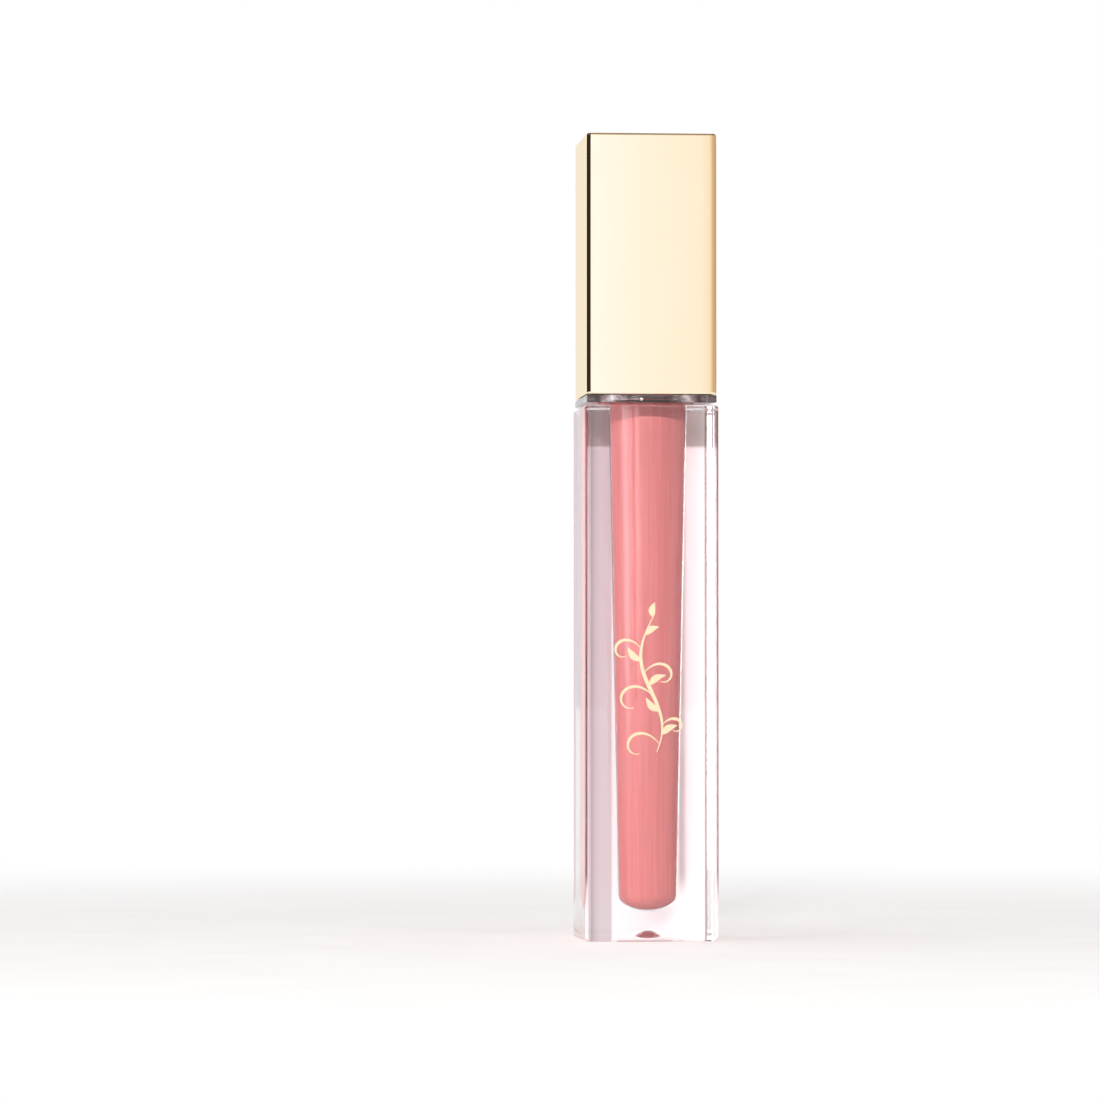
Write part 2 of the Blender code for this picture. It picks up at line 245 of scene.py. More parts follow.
def band(upper, lower):
    """Faces between two rings of points, either of which may be one point on the axis."""
    faces = []
    for k in range(max(len(upper), len(lower))):
        n = (k + 1) % max(len(upper), len(lower))
        if len(upper) == 1:
            faces.append((upper[0], lower[k], lower[n]))
        elif len(lower) == 1:
            faces.append((upper[k], lower[0], upper[n]))
        else:
            faces.append((upper[k], lower[k], lower[n], upper[n]))
    return faces


def shade(obj, sharp_degrees=35.0):
    """Smooth shading with edges sharper than an angle kept crisp."""
    obj.data.shade_smooth()
    obj.data.set_sharp_from_angle(angle=math.radians(sharp_degrees))
    return obj


def block_solid(side, bottom, top, upright, crown, foot, segments=6):
    """An upright square block: upright (the largest), crown and foot are the roundings of its edges."""
    solid = bmesh.new()
    bmesh.ops.create_cube(solid, size=1.0)
    bmesh.ops.scale(solid, vec=(side, side, top - bottom), verts=solid.verts)
    bmesh.ops.translate(solid, vec=(0.0, 0.0, (top + bottom) / 2), verts=solid.verts)
    tall = [edge for edge in solid.edges if abs(edge.verts[0].co.z - edge.verts[1].co.z) > SAME_HEIGHT]
    round_edges(solid, tall, upright, segments + 4)
    round_edges(solid, edges_at(solid, top), crown, segments)
    round_edges(solid, edges_at(solid, bottom), foot, segments)
    return solid


def crisp_back_foot(solid, half, upright, foot, share):
    """Shrinks the rounding of a block's foot at its back, so that it doesn't cut off the view through it."""
    for vert in solid.verts:
        x, y, z = vert.co
        if y < 0.0 or z > foot + SAME_HEIGHT:
            continue
        centre = Vector((math.copysign(half - upright, x), half - upright))
        out = Vector((x, y)) - centre
        inset = upright - out.length
        out = out.normalized() * (upright - share * inset)
        vert.co = (centre.x + out.x, centre.y + out.y, share * z)


def block(name, side, bottom, top, upright):
    """An upright square block, with much the same rounding on all of its edges."""
    return as_object(name, block_solid(side, bottom, top, upright, 0.8 * upright, 0.8 * upright))


def edges_at(solid, height):
    """The outer edges of the flat face at a height."""
    level = [face for face in solid.faces if abs(face.calc_center_median().z - height) < SAME_HEIGHT]
    return list(max(level, key=lambda face: face.calc_area()).edges)


def round_edges(solid, edges, radius, segments):
    shape = {"offset_type": "OFFSET", "profile": 0.5, "affect": "EDGES"}
    bmesh.ops.bevel(solid, geom=edges, offset=radius, segments=segments, **shape)


def thread_ridge(name, wall, crest, start, steps=72):
    """A helical thread ridge with a rounded crest, sinking into its wall at both ends."""
    outward = math.copysign(1.0, crest - wall)
    buried = wall - outward * 0.2 * MM
    faded = wall - outward * 0.1 * MM
    count = int(THREAD_TURNS * steps) + 1
    shares = [(0.0, -1.0), (0.75, -0.62), (1.0, -0.25), (1.0, 0.25), (0.75, 0.62), (0.0, 1.0)]
    ridge = bmesh.new()
    sections = []
    for i in range(count):
        turn = (i + 0.5) / steps
        fade = smooth_step(min(i, count - 1 - i) / steps / THREAD_FADE)
        tip = faded + (crest - faded) * fade
        middle = start + THREAD_LEAD * turn
        a = 2 * math.pi * turn
        section = []
        for depth, along in shares:
            r = buried + (tip - buried) * depth
            z = middle + THREAD_HALF_ROOT * along
            section.append(ridge.verts.new((r * math.cos(a), r * math.sin(a), z)))
        sections.append(section)
    for near, far in zip(sections, sections[1:]):
        for j in range(len(shares)):
            k = (j + 1) % len(shares)
            ridge.faces.new((near[j], near[k], far[k], far[j]))
    ridge.faces.new(sections[0])
    ridge.faces.new(sections[-1])
    bmesh.ops.recalc_face_normals(ridge, faces=ridge.faces)
    return as_object(name, ridge)


def combine(target, tool, operation):
    """Joins the tool to the target's mesh, or cuts it away, and removes the tool."""
    boolean = target.modifiers.new("combine", "BOOLEAN")
    boolean.operation = operation
    boolean.object = tool
    boolean.solver = "EXACT"
    apply_modifiers(target)
    bpy.data.objects.remove(tool, do_unlink=True)


def apply_modifiers(obj):
    graph = bpy.context.evaluated_depsgraph_get()
    mesh = bpy.data.meshes.new_from_object(obj.evaluated_get(graph))
    obj.modifiers.clear()
    obj.data = mesh
    return obj


def flat_faced(obj):
    """Shades a block so that its large faces stay flat and its small rounded edges stay smooth."""
    shade(obj, 40.0)
    weighted = obj.modifiers.new("weighted", "WEIGHTED_NORMAL")
    weighted.mode = "FACE_AREA"
    weighted.weight = 100
    weighted.keep_sharp = True
    return apply_modifiers(obj)


# ---- materials


class Nodes:
    """A short way to write a node tree, of a material or of the world."""

    def __init__(self, owner, coordinates):
        owner.use_nodes = True
        self.tree = owner.node_tree
        self.coords = self.add("TexCoord").outputs[coordinates]

    def add(self, kind, inputs=None, **settings):
        """A new node: inputs maps its sockets' names or numbers to what each is fed."""
        node = self.tree.nodes.new("ShaderNode" + kind)
        for key, value in settings.items():
            setattr(node, key, value)
        for key, value in (inputs or {}).items():
            self.feed(node.inputs[key], value)
        return node

    def feed(self, target, value):
        """Links a socket to an input, or sets a fixed number, vector or colour on it."""
        if isinstance(value, bpy.types.NodeSocket):
            self.tree.links.new(value, target)
        elif target.type == "RGBA":
            target.default_value = (*value, 1.0)
        else:
            target.default_value = value

    def stretched(self, scale):
        """Coordinates scaled on each axis."""
        return self.add("Mapping", {"Vector": self.coords, "Scale": scale}).outputs["Vector"]

    def noise(self, across, along=None, detail=4.0, roughness=0.5):
        """A noise value, in bumps a metre across the tube and along it."""
        place = self.stretched((across, across, along or across))
        inputs = {"Vector": place, "Scale": 1.0, "Detail": detail, "Roughness": roughness}
        return self.add("TexNoise", inputs).outputs["Fac"]

    def ramp(self, value, *stops):
        """A colour ramp from (position, colour) stops."""
        ramp = self.add("ValToRGB", {"Fac": value})
        elements = ramp.color_ramp.elements
        while len(elements) < len(stops):
            elements.new(0.5)
        for element, (position, colour) in zip(elements, stops):
            element.position = position
            element.color = (*colour, 1.0)
        return ramp.outputs["Color"]

    def mixed(self, share, first, second):
        """A mix of two colours: each is a socket or a fixed colour."""
        inputs = {"Factor": share, "A": first, "B": second}
        return self.add("Mix", inputs, data_type="RGBA").outputs["Result"]

    def spread(self, value, low, high):
        """A value between 0 and 1 spread over a range."""
        return self.add("MapRange", {"Value": value, "To Min": low, "To Max": high}).outputs["Result"]

    def between(self, value, low, high, kind="LINEAR"):
        """How far a value has gone from low to high, 0 to 1: kind SMOOTHSTEP eases in and out."""
        inputs = {"Value": value, "From Min": low, "From Max": high}
        return self.add("MapRange", inputs, interpolation_type=kind).outputs["Result"]

    def calc(self, operation, *values, clamp=False):
        """A sum with sockets or fixed numbers."""
        node = self.add("Math", dict(enumerate(values)), operation=operation, use_clamp=clamp)
        return node.outputs["Value"]

    def place(self, axis):
        """The coordinate on one axis."""
        return self.add("SeparateXYZ", {"Vector": self.coords}).outputs[axis]

    def length(self, vector):
        return self.add("VectorMath", {0: vector}, operation="LENGTH").outputs["Value"]

    def slant(self):
        """How far a surface slants away from the eye, 0 to 1."""
        return self.add("LayerWeight", {"Blend": 0.5}).outputs["Facing"]

    def ray(self, question):
        """What the Light Path node says about the ray, by its output's name."""
        return self.add("LightPath").outputs[question]

    def choice(self, share, first, second):
        """The first shader, or the second where share is 1."""
        return self.add("MixShader", {"Fac": share, 1: first, 2: second}).outputs["Shader"]


class Material(Nodes):
    """A new material's nodes, with words for its own shader."""

    def __init__(self, name):
        self.material = bpy.data.materials.new(name)
        super().__init__(self.material, "Object")
        self.shader = self.tree.nodes["Principled BSDF"]

    def set(self, **values):
        """Feeds the shader's own sockets: words joined by _ name the socket."""
        for key, value in values.items():
            self.feed(self.shader.inputs[key.replace("_", " ")], value)

    def bump(self, height, distance):
        bump = self.add("Bump", {"Height": height, "Distance": distance})
        self.set(Normal=bump.outputs["Normal"])

    def finish(self, texture, stops, rough, relief):
        """One texture gives the colour by ramp stops, the roughness over a range, and the relief's depth."""
        self.set(Base_Color=self.ramp(texture, *stops), Roughness=self.spread(texture, *rough))
        self.bump(texture, relief)

    def show(self, surface):
        """Shows a shader on the surface in place of the material's own."""
        self.feed(self.tree.nodes["Material Output"].inputs["Surface"], surface)

    def glow(self, colour, strength):
        light = self.add("Emission", {"Color": colour, "Strength": strength})
        self.show(light.outputs["Emission"])

    def let_lamps_through(self, tint, shoulder=None):
        """Shadow rays pass the clear plastic, a little dimmed, so that what stands inside it is lit.

        They don't at the height shoulder, within 0.3 mm, as the rounded edge there throws the light aside.
        """
        share = self.ray("Is Shadow Ray")
        if shoulder is not None:
            at_edge = self.calc("COMPARE", self.place("Z"), shoulder, 0.3 * MM)
            share = self.calc("SUBTRACT", share, at_edge, clamp=True)
        clear = self.add("BsdfTransparent", {"Color": tint})
        self.show(self.choice(share, self.shader.outputs["BSDF"], clear.outputs["BSDF"]))


def clear_plastic(name, colour, rough=0.02, tint=None, shoulder=None, outline=None):
    """Clear moulded plastic with faint flow waves and a hint of handling haze.

    With a tint it lets lamps through to what stands inside. An outline colour is painted shade where it
    slants away from the eye, the dark edges that a thin round rod shows, and a light painted shade greys its
    bore.
    """
    nodes = Material(name)
    nodes.set(Base_Color=colour, IOR=PLASTIC_IOR, Transmission_Weight=1.0)
    if outline is not None:
        # Painted shade: the base colour darkens to the outline colour where the surface slants away from the
        # eye.
        edges = nodes.ramp(nodes.slant(), (0.35, colour), (0.58, outline))
        # Painted shade: a light grey inside the bore.
        off_axis = nodes.length(nodes.stretched((1.0, 1.0, 0.0)))
        bore = nodes.calc("LESS_THAN", off_axis, TIP_BORE_RADIUS + 0.1 * MM)
        nodes.set(Base_Color=nodes.mixed(bore, edges, (0.86, 0.80, 0.81)))
    haze = nodes.noise(900.0, 300.0, detail=3.0)
    nodes.set(Roughness=nodes.spread(haze, 0.0, rough))
    nodes.bump(nodes.noise(260.0, 45.0, detail=2.0), 0.001 * MM)
    if tint is not None:
        nodes.let_lamps_through(tint, shoulder)
    return nodes.material


def gold_mirror():
    """Pale champagne gold plating: almost a mirror, with polishing haze and a painted dark reflection round
    its top edge.
    """
    nodes = Material("champagne_gold")
    nodes.set(Metallic=1.0, Specular_Tint=(0.97, 0.86, 0.68))
    patches = nodes.noise(120.0, 60.0, detail=3.0)
    colour = nodes.ramp(patches, (0.3, (0.985, 0.855, 0.615)), (0.7, (1.0, 0.875, 0.645)))
    # Painted dark reflection: the base colour turns dark brown across the rounding of the top edge.
    height = nodes.between(nodes.place("Z"), SHELL_HIGH.z - SHELL_TOP_EDGE, SHELL_HIGH.z)
    edge = nodes.ramp(height, (0.3, BLACK), (0.5, WHITE), (0.9, WHITE), (0.99, BLACK))
    nodes.set(Base_Color=nodes.mixed(edge, colour, (0.13, 0.075, 0.035)))
    haze = nodes.noise(2600.0, 500.0, detail=5.0, roughness=0.6)
    nodes.set(Roughness=nodes.spread(haze, 0.03, 0.07))
    nodes.bump(nodes.noise(1500.0, 380.0), 0.0006 * MM)
    return nodes.material


def gold_foil():
    """Hot-stamped foil: the same gold, a little grainier."""
    nodes = Material("gold_foil")
    nodes.set(Metallic=1.0)
    stops = ((0.3, (0.78, 0.64, 0.40)), (0.7, (0.86, 0.74, 0.52)))
    nodes.finish(nodes.noise(9000.0, detail=3.0), stops, (0.18, 0.32), 0.004 * MM)
    return nodes.material


def pink_gloss():
    """Creamy opaque gloss, wet against the clear wall, with long vertical flow streaks.

    The wall's plastic is denser than the gloss, so near its sides the column only mirrors what is beside it.
    """
    nodes = Material("pink_gloss")
    nodes.set(IOR=GLOSS_IOR)
    nodes.set(Subsurface_Weight=0.2, Subsurface_Radius=(1.0, 0.35, 0.3), Subsurface_Scale=0.4 * MM)
    streaks = nodes.noise(2400.0, 22.0, roughness=0.6)
    stops = ((0.25, (0.56, 0.155, 0.152)), (0.5, (0.61, 0.182, 0.18)), (0.75, (0.655, 0.21, 0.21)))
    mirror = nodes.between(nodes.slant(), 0.68, 0.73, "SMOOTHSTEP")
    colour = nodes.mixed(mirror, nodes.ramp(streaks, *stops), (1.0, 0.985, 0.985))
    inputs = {"Factor": mirror, "A": nodes.spread(streaks, 0.12, 0.24), "B": 0.02}
    rough = nodes.add("Mix", inputs, data_type="FLOAT").outputs["Result"]
    nodes.set(Base_Color=colour, Metallic=mirror, Roughness=rough)
    nodes.bump(streaks, 0.012 * MM)
    return nodes.material


def gloss_film():
    """The same gloss as a thin wet film: smooth, with shallow ripples."""
    nodes = Material("gloss_film")
    nodes.set(Coat_Weight=0.6, Coat_Roughness=0.08, IOR=GLOSS_IOR)
    stops = ((0.3, (0.50, 0.13, 0.13)), (0.7, (0.61, 0.185, 0.182)))
    nodes.finish(nodes.noise(900.0, 260.0), stops, (0.2, 0.34), 0.06 * MM)
    return nodes.material


def tip_pin():
    """The pin's plastic: stained by gloss up to its first ring, beige above."""
    nodes = Material("core_plastic")
    cloud = nodes.noise(900.0)
    stained = nodes.ramp(cloud, (0.35, (0.58, 0.21, 0.20)), (0.6, (0.74, 0.42, 0.38)))
    beige = nodes.ramp(cloud, (0.3, (0.56, 0.51, 0.48)), (0.7, (0.68, 0.62, 0.55)))
    height = nodes.between(nodes.place("Z"), PIN_NECK - 0.4 * MM, PIN_NECK)
    nodes.set(Transmission_Weight=0.25, IOR=PLASTIC_IOR, Base_Color=nodes.mixed(height, stained, beige))
    nodes.set(Roughness=nodes.spread(cloud, 0.2, 0.35))
    nodes.bump(cloud, 0.02 * MM)
    return nodes.material


def soft_plastic(name, dark, light, roughness, transmission=0.0):
    """Moulded plastic with a fine satin skin and a faint cloudiness."""
    nodes = Material(name)
    colour = nodes.ramp(nodes.noise(700.0), (0.3, dark), (0.7, light))
    nodes.set(Base_Color=colour, Transmission_Weight=transmission, IOR=PLASTIC_IOR)
    skin = nodes.noise(5200.0, detail=3.0)
    nodes.set(Roughness=nodes.spread(skin, roughness - 0.06, roughness + 0.06))
    nodes.bump(skin, 0.008 * MM)
    return nodes.material


def gasket_foam():
    """Closed-cell foam washer: off white, matte, with small cells."""
    nodes = Material("gasket_foam")
    cells = nodes.add("TexVoronoi", {"Vector": nodes.stretched((6000.0, 6000.0, 6000.0)), "Scale": 1.0})
    stops = ((0.1, (0.62, 0.61, 0.57)), (0.6, (0.84, 0.83, 0.79)))
    nodes.finish(cells.outputs["Distance"], stops, (0.7, 0.9), 0.03 * MM)
    return nodes.material


def turned_steel():
    """Machined steel with fine turning rings."""
    nodes = Material("turned_steel")
    nodes.set(Metallic=1.0)
    inputs = {"Vector": nodes.coords, "Scale": 1400.0, "Distortion": 0.6}
    rings = nodes.add("TexWave", inputs, wave_type="RINGS", rings_direction="Z")
    stops = ((0.0, (0.46, 0.47, 0.49)), (1.0, (0.62, 0.63, 0.65)))
    nodes.finish(rings.outputs["Fac"], stops, (0.24, 0.36), 0.01 * MM)
    return nodes.material


def flock_fibre():
    """Fine fibres soaked in gloss: deep pink with a wet sheen."""
    nodes = Material("flock_fibre")
    nodes.set(Sheen_Weight=0.4, Sheen_Roughness=0.4, Coat_Weight=0.35, Coat_Roughness=0.25)
    stops = ((0.3, (0.50, 0.10, 0.12)), (0.7, (0.82, 0.28, 0.30)))
    nodes.finish(nodes.noise(4000.0, detail=3.0), stops, (0.45, 0.7), 0.03 * MM)
    return nodes.material


# ---- pieces


def settle(obj, material, body, slot, *nodes):
    """Gives a piece its material and its body, and hides the CAD nodes that it stands for. The slot is not
    used.
    """
    obj.data.materials.clear()
    obj.data.materials.append(material)
    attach(obj, body)
    if nodes:
        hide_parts(*nodes)
    return obj


def make_bottle(material):
    """The thick-walled body with its threaded neck, tapered cavity and gate dimple."""
    solid = block_solid(BOTTLE_SIDE, 0.0, BODY_TOP, BODY_EDGE, SHOULDER_EDGE, BASE_EDGE)
    crisp_back_foot(solid, BOTTLE_SIDE / 2, BODY_EDGE, BASE_EDGE, BACK_FOOT_SHARE)
    body = as_object("bottle_moulding", solid)
    combine(body, neck(), "UNION")
    combine(body, thread_ridge("neck_ridge", NECK_RADIUS, NECK_CREST, NECK_THREAD_START), "UNION")
    combine(body, cavity(), "DIFFERENCE")
    combine(body, dimple(), "DIFFERENCE")
    return settle(flat_faced(body), material, "bottle", "clear_bottle", "bottle")


def neck():
    """The neck's outside, with its bead and a flared root sunk into the body."""
    root = BODY_TOP - 1.0 * MM
    slope = BEAD_RADIUS - NECK_RADIUS
    corners = [
        (0.0, BOTTLE_HIGH.z),
        (NECK_RADIUS, BOTTLE_HIGH.z, 0.25),
        (NECK_RADIUS, BEAD_TOP + slope, 0.2),
        (BEAD_RADIUS, BEAD_TOP, 0.15),
        (BEAD_RADIUS, BEAD_BOTTOM, 0.15),
        (NECK_RADIUS, BEAD_BOTTOM - slope, 0.2),
        (NECK_RADIUS, BODY_TOP + NECK_FLARE, 0.1),
        (NECK_RADIUS + NECK_FLARE, BODY_TOP - 0.05 * MM),
        (NECK_RADIUS + NECK_FLARE, root),
        (0.0, root),
    ]
    return lathe("neck", corners)


def cavity():
    """The tapered cavity and the neck's bore, up past a bevelled mouth."""
    above = BOTTLE_HIGH.z + 1.0 * MM
    corners = [
        (0.0, above),
        (NECK_BORE + MOUTH_BEVEL + 1.0 * MM, above),
        (NECK_BORE, BOTTLE_HIGH.z - MOUTH_BEVEL, 0.2),
        (NECK_BORE, BODY_TOP + 1.0 * MM, 0.5),
        (CAVITY_TOP_RADIUS, BODY_TOP - 0.5 * MM, 0.5),
        *dome(CAVITY_BOTTOM_RADIUS, CAVITY_DOME, CAVITY_FLOOR + CAVITY_DOME),
    ]
    return lathe("cavity", corners)


def dimple(count=14):
    """The part of a ball that leaves the gate dimple, reaching a little under the base."""
    ball_radius = (DIMPLE_RADIUS**2 + DIMPLE_DEPTH**2) / (2 * DIMPLE_DEPTH)
    half_angle = math.asin(DIMPLE_RADIUS / ball_radius) * 1.15
    centre = DIMPLE_DEPTH - ball_radius
    angles = [half_angle * i / count for i in range(count + 1)]
    outline = [(ball_radius * math.sin(a), centre + ball_radius * math.cos(a)) for a in angles]
    outline.append((0.0, outline[-1][1] - 0.2 * MM))
    return lathe("dimple", outline)


def make_gloss(material):
    """The gloss column, pressed against the cavity wall, with the well that the wand stands in."""
    press = 0.01 * MM
    outline = [
        *reversed(dome(WELL_RADIUS, 1.5 * MM, WELL_FLOOR)),
        (WELL_RADIUS, GLOSS_TOP, 0.2),
        (CAVITY_TOP_RADIUS + press, GLOSS_TOP),
        (CAVITY_TOP_RADIUS + press, BODY_TOP - 0.5 * MM),
        *dome(CAVITY_BOTTOM_RADIUS + press, CAVITY_DOME + press, CAVITY_FLOOR + CAVITY_DOME),
    ]
    gloss = lathe("gloss_column", outline)
    gloss.visible_shadow = False
    return settle(gloss, material, "bottle", "gloss", "gloss_fill")


def make_wiper(material):
    """The soft plug with its rounded flange and conical lip."""
    plug = NECK_BORE - 0.15 * MM
    under = BOTTLE_HIGH.z + 0.15 * MM
    corners = [
        (plug - WIPER_WALL, WIPER_HIGH.z, 0.25),
        (WIPER_HIGH.x, WIPER_HIGH.z, 0.22),
        (WIPER_HIGH.x, under, 0.15),
        (plug, under, 0.05),
        (plug, WIPER_CONE, 0.4),
        (WIPER_HOLE + WIPER_WALL, WIPER_LOW.z, 0.12),
        (WIPER_HOLE, WIPER_LOW.z, 0.08),
        (WIPER_HOLE, WIPER_LOW.z + WIPER_WALL, 0.2),
        (plug - WIPER_WALL, WIPER_CONE + WIPER_WALL, 0.6),
    ]
    plug_ring = lathe("wiper_plug", corners, ring=True)
    settle(plug_ring, material, "bottle", "wiper_plastic", "wiper")


def make_gasket(material):
    """The loose washer with softly rounded rims."""
    soft = 0.2
    corners = [
        (GASKET_HOLE, GASKET_HIGH.z, soft),
        (GASKET_HIGH.x, GASKET_HIGH.z, soft),
        (GASKET_HIGH.x, GASKET_LOW.z, soft),
        (GASKET_HOLE, GASKET_LOW.z, soft),
    ]
    washer = lathe("gasket_washer", corners, ring=True)
    settle(washer, material, "gasket", "gasket_foam", "neck_gasket")


def make_inner_cap(material):
    """The clear threaded cap with its square collar."""
    low, collar_top = CAP_LOW.z, CAP_LOW.z + COLLAR_THICKNESS
    cap = block("inner_cap_moulding", COLLAR_SIDE, low, collar_top, COLLAR_EDGE)
    ceiling = GASKET_HIGH.z + CEILING_GAP
    ceiling_top = ceiling + CEILING_THICKNESS
    foot = low + COLLAR_THICKNESS / 2
    sleeve = [
        (0.0, CAP_HIGH.z),
        (BOSS_RADIUS, CAP_HIGH.z, 0.3),
        (BOSS_RADIUS, ceiling_top, 0.1),
        (SLEEVE_RADIUS, ceiling_top, 0.3),
        (SLEEVE_RADIUS, foot),
        (0.0, foot),
    ]
    combine(cap, lathe("sleeve", sleeve), "UNION")
    bore = [
        (0.0, CAP_HIGH.z - SOCKET_ROOF),
        (SOCKET_RADIUS, CAP_HIGH.z - SOCKET_ROOF, 0.2),
        (SOCKET_RADIUS, ceiling, 0.1),
        (SLEEVE_BORE, ceiling, 0.3),
        (SLEEVE_BORE, low + 0.3 * MM, 0.15),
        (SLEEVE_BORE + 1.3 * MM, low - 1.0 * MM),
        (0.0, low - 1.0 * MM),
    ]
    combine(cap, lathe("sleeve_bore", bore), "DIFFERENCE")
    combine(cap, thread_ridge("cap_ridge", SLEEVE_BORE, CAP_CREST, CAP_THREAD_START), "UNION")
    return settle(flat_faced(cap), material, "cap", "clear_cap", "inner_cap")


def make_pip(material):
    """The tiny gate mark that the moulding leaves on the collar's front."""
    middle = Vector((-1.3 * MM, CAP_LOW.y, CAP_LOW.z + COLLAR_THICKNESS * 0.42))
    pip = bmesh.new()
    bmesh.ops.create_icosphere(pip, subdivisions=3, radius=1.0)
    for vert in pip.verts:
        x, y, z = vert.co
        lobe = 1.0 + 0.35 * math.sin(3 * math.atan2(z, x) + 0.6)
        vert.co = middle + Vector((0.2 * MM * x * lobe, 0.12 * MM * y, 0.2 * MM * z * lobe))
    settle(shade(as_object("collar_pip", pip)), material, "cap", "clear_cap")


def pillow(solid, half, bottom, top):
    """Lets the faces fall away a little near their edges, as pressed metal does."""
    for share in (0.16, 0.32, 0.48, 0.64, 0.8, 1.0):
        inset = PILLOW_BAND * share
        near, far = inset - half, half - inset
        for axis, place in ((0, near), (1, near), (0, far), (1, far), (2, top - inset), (2, bottom + inset)):
            normal = Vector([float(i == axis) for i in range(3)])
            everything = solid.verts[:] + solid.edges[:] + solid.faces[:]
            bmesh.ops.bisect_plane(solid, geom=everything, plane_co=normal * place, plane_no=normal)

    def fall(distance):
        return max(0.0, 1.0 - distance / PILLOW_BAND) ** 2

    def sink(place, nearness):
        on_face = abs(place) > half - 2 * SHELL_EDGE
        return math.copysign(PILLOW_DROP * nearness / 2, place) * on_face

    for vert in solid.verts:
        x, y, z = vert.co
        near_x, near_y = fall(half - abs(x)), fall(half - abs(y))
        near_z = max(fall(top - z), fall(z - bottom))
        vert.co.x -= sink(x, near_y + near_z)
        vert.co.y -= sink(y, near_x + near_z)


def make_shell(material):
    """The gold cover: rounded upright and top edges, a crisp rim at its foot and mirror faces."""
    solid = block_solid(SHELL_SIDE, SHELL_LOW.z, SHELL_HIGH.z, SHELL_EDGE, SHELL_TOP_EDGE, SHELL_RIM)
    pillow(solid, SHELL_SIDE / 2, SHELL_LOW.z, SHELL_HIGH.z)
    shell = as_object("gold_cover", solid)
    inside = SHELL_SIDE - 2 * SHELL_WALL
    hollow = block("hollow", inside, SHELL_LOW.z - 2 * MM, SHELL_HIGH.z - SHELL_WALL, 0.2 * MM)
    combine(shell, hollow, "DIFFERENCE")
    return settle(flat_faced(shell), material, "cap", "gold_shell", "cap_shell")


def make_stem(material):
    """The clear hollow rod with its tip bore, cone-ended septum and long upper bore."""
    bore_end = STEM_LOW.z + TIP_BORE_DEPTH
    septum_top = bore_end + TIP_BORE_CONE + SEPTUM
    corners = [
        (0.0, septum_top),
        (UPPER_BORE_RADIUS, septum_top, 0.15),
        (UPPER_BORE_RADIUS, STEM_HIGH.z, 0.1),
        (STEM_RADIUS, STEM_HIGH.z, 0.15),
        (STEM_RADIUS, STEM_LOW.z, 0.15),
        (TIP_BORE_RADIUS, STEM_LOW.z, 0.1),
        (TIP_BORE_RADIUS, bore_end, 0.05),
        (0.0, bore_end + TIP_BORE_CONE),
    ]
    settle(lathe("stem_rod", corners), material, "cap", "clear_stem", "stem")


def make_bore_end(material):
    """A thin dark skin on the shallow cone that ends the tip bore: painted shade for the dark that the cone
    shows as it throws the light aside.
    """
    base = STEM_LOW.z + TIP_BORE_DEPTH
    skin = 0.04 * MM
    rim = TIP_BORE_RADIUS - 0.02 * MM
    corners = [
        (0.0, base + TIP_BORE_CONE + skin),
        (rim, base + skin),
        (rim, base - skin),
        (0.0, base + TIP_BORE_CONE - skin),
    ]
    settle(lathe("bore_end", corners, steps=72), material, "cap", "clear_stem")


def make_core(material):
    """The moulded pin: a domed core under the fibres, a tapered shank and two rings in the stem's bore."""
    core_radius = FLOCK_RADIUS - FLOCK_THICKNESS
    shoulder = STEM_LOW.z - 0.15 * MM
    ring_top = PIN_NECK + 1.2 * MM
    soft = 0.08
    corners = [
        (0.0, CORE_HIGH.z),
        (PIN_SHANK, CORE_HIGH.z, soft),
        (PIN_SHANK, ring_top, soft),
        (PIN_RING, ring_top, soft),
        (PIN_RING, PIN_NECK, soft),
        (0.45 * MM, PIN_NECK, soft),
        (1.0 * MM, shoulder, soft),
        (core_radius, shoulder, soft),
        *dome(core_radius, core_radius, CORE_LOW.z + core_radius),
    ]
    settle(lathe("core_pin", corners, steps=96), material, "cap", "core_plastic", "tip_core")


def tip_profile(share):
    """(radius, height, outward part, upward part) of the flocked tip at a share of its outline's length."""
    straight = FLOCK_HIGH.z - FLOCK_LOW.z - FLOCK_RADIUS
    along = share * (straight + FLOCK_RADIUS * math.pi / 2)
    if along < straight:
        return FLOCK_RADIUS, FLOCK_HIGH.z - along, 1.0, 0.0
    a = (along - straight) / FLOCK_RADIUS
    out, up = math.cos(a), -math.sin(a)
    return FLOCK_RADIUS * out, FLOCK_LOW.z + FLOCK_RADIUS * (1 + up), out, up


def make_flocking(material):
    """The smooth skin under the fibres, on the tip's core."""
    inner = FLOCK_RADIUS - FLOCK_THICKNESS + 0.1 * MM
    base = FLOCK_LOW.z + FLOCK_THICKNESS - 0.1 * MM + inner
    outline = [
        *reversed(dome(inner, inner, base)),
        (inner, FLOCK_HIGH.z),
        (FLOCK_RADIUS - 0.15 * MM, FLOCK_HIGH.z, 0.3),
        *dome(FLOCK_RADIUS - 0.12 * MM, FLOCK_RADIUS - 0.12 * MM, FLOCK_LOW.z + FLOCK_RADIUS),
    ]
    settle(lathe("flock_skin", outline), material, "cap", "flock", "flocking")


def film_cover(angle, share):
    """How thickly gloss covers the flocked tip, 0 to 1: its front, back and end, but not its two sides."""
    broad = smooth_step((abs(math.sin(angle)) - 0.4) / 0.25)
    rounded_end = smooth_step((share - 0.8) / 0.12)
    torn = 0.13 + 0.025 * math.sin(5 * angle + 1.0) + 0.018 * math.sin(13 * angle)
    return max(broad, rounded_end) * smooth_step((share - torn) / 0.05)


